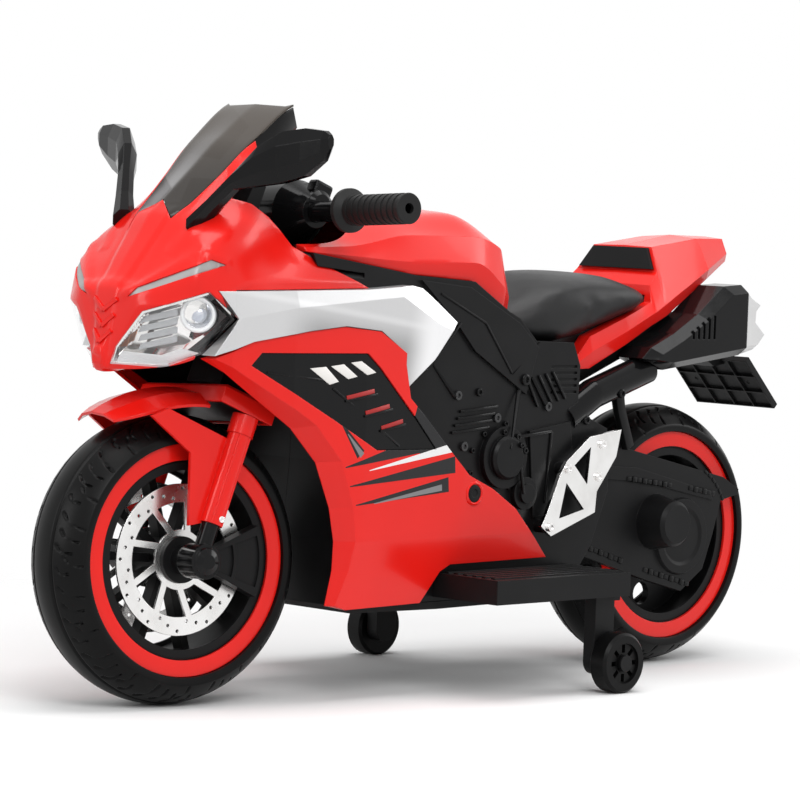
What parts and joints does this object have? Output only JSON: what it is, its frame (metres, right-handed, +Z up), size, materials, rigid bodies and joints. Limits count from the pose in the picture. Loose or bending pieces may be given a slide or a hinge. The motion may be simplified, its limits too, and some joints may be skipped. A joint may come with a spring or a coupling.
{
  "type": "kids electric motorbike",
  "caption": "Sport-bike style ride-on toy with steering fork, spoked wheels, padded seat, faired body, footboards, pedal, geared rear drive and training wheels.",
  "frame": {"origin": "on the ground below the middle of the whole length, on the bike's centre plane", "axes": "+X forward, +Y to the rider's left, +Z up"},
  "size_m": [1.0563, 0.4382, 0.6172],
  "materials": {
    "red_gloss": "glossy",
    "silver_paint": "metallic satin",
    "grey_strip": "satin",
    "smoked_screen": "smoked clear",
    "clear_lens": "clear",
    "chrome_plating": "bright",
    "mirror_face": "mirror",
    "black_gloss": "glossy",
    "black_plastic": "satin",
    "tip_silver": "silver satin",
    "seat_cover": "satin",
    "tyre_black": "matte",
    "grip_rubber": "matte",
    "steel": "brushed",
    "bar_paint": "gloss black",
    "button_red": "glossy",
    "gear_nylon": "natural",
    "battery_case": "matte"
  },
  "bodies": {
    "chassis": {"battery": "battery_case", "belly_pan": "black_plastic", "dash_panel": "black_plastic", "drive_motor": "steel", "exhaust_tips": "tip_silver", "exhausts": "black_gloss", "footboard_left": "black_plastic", "footboard_right": "black_plastic", "footrest_plates": "chrome_plating", "frame_bolts": "chrome_plating", "frame_left": "black_plastic", "frame_right": "black_plastic", "gearbox_housing": "black_plastic", "headlight_housings": "chrome_plating", "headlight_lamps": "chrome_plating", "headlight_lenses": "clear_lens", "link_pipes": "black_gloss", "mirror_glasses": "mirror_face", "mirrors": "black_gloss", "nose_fairing": "red_gloss", "nose_strips": "grey_strip", "plate_holder": "black_plastic", "rear_axle": "steel", "seat": "seat_cover", "side_fairing_left": "red_gloss", "side_fairing_right": "red_gloss", "side_panel_left": "silver_paint", "side_panel_right": "silver_paint", "side_vents": "black_gloss", "swingarm_left": "black_plastic", "swingarm_right": "black_plastic", "tail_fairing": "red_gloss", "tail_pad": "black_plastic", "tank_cover": "red_gloss", "training_brackets": "black_plastic", "windshield": "smoked_screen"},
    "steering": {"fork_yoke": "black_plastic", "fork_legs": "black_plastic", "fork_covers": "red_gloss", "fork_calipers": "black_plastic", "front_fender": "red_gloss", "front_axle": "steel", "handlebar": "bar_paint", "handlebar_cover": "black_plastic", "grips": "grip_rubber"},
    "front_wheel": {"front_tyre": "tyre_black", "front_rim": "black_plastic", "front_trim_rings": "red_gloss", "front_brake_discs": "chrome_plating"},
    "rear_wheel": {"rear_tyre": "tyre_black", "rear_rim": "black_plastic", "rear_trim_rings": "red_gloss", "drive_gear": "gear_nylon"},
    "pinion": {"motor_pinion": "steel"},
    "training_wheel_left": {"training_wheel_left": "tyre_black"},
    "training_wheel_right": {"training_wheel_right": "tyre_black"},
    "horn_button": {"horn_button": "button_red"},
    "power_button": {"power_button": "button_red"},
    "direction_switch": {"direction_switch": "black_plastic"},
    "accelerator_pedal": {"accelerator_pedal": "black_plastic"}
  },
  "joints": [
    {"name": "steering_turn", "type": "hinge", "parent": "chassis", "child": "steering", "pos_m": [0.3785, 0, 0.15], "axis": [-0.3827, 0, 0.9239], "range_deg": [-12.5, 27.5]},
    {"name": "front_wheel_spin", "type": "hinge", "parent": "steering", "child": "front_wheel", "pos_m": [0.3785, 0, 0.15], "axis": [0.1206, 0.9914, 0.05], "continuous": true},
    {"name": "rear_wheel_spin", "type": "hinge", "parent": "chassis", "child": "rear_wheel", "pos_m": [-0.3615, 0, 0.15], "axis": [0, 1, 0], "continuous": true},
    {"name": "pinion_spin", "type": "hinge", "parent": "chassis", "child": "pinion", "pos_m": [-0.31653, 0, 0.16817], "axis": [0, 1, 0], "continuous": true},
    {"name": "training_spin_left", "type": "hinge", "parent": "chassis", "child": "training_wheel_left", "pos_m": [-0.1165, 0.189, 0.033], "axis": [0, 1, 0], "continuous": true},
    {"name": "training_spin_right", "type": "hinge", "parent": "chassis", "child": "training_wheel_right", "pos_m": [-0.1165, -0.189, 0.033], "axis": [0, 1, 0], "continuous": true},
    {"name": "horn_press", "type": "slide", "parent": "steering", "child": "horn_button", "axis": [0.9477, -0.1, -0.3032], "range_m": [0, 0.002], "stiffness_N_per_m": 400, "springref_m": -0.0015},
    {"name": "power_press", "type": "slide", "parent": "chassis", "child": "power_button", "axis": [0.9239, 0, 0.3827], "range_m": [0, 0.002], "stiffness_N_per_m": 400, "springref_m": -0.0015},
    {"name": "direction_rock", "type": "hinge", "parent": "chassis", "child": "direction_switch", "pos_m": [0.31168, 0.024, 0.51253], "axis": [0, 1, 0], "range_deg": [-8, 8]},
    {"name": "pedal_press", "type": "hinge", "parent": "chassis", "child": "accelerator_pedal", "pos_m": [-0.0535, -0.14215, 0.126], "axis": [0, 1, 0], "range_deg": [0, 8], "stiffness_Nm_per_rad": 2, "springref_deg": -6.88}
  ],
  "couplings": [
    {"joint": "pinion_spin", "follows": "rear_wheel_spin", "ratio": -4.3333}
  ]
}
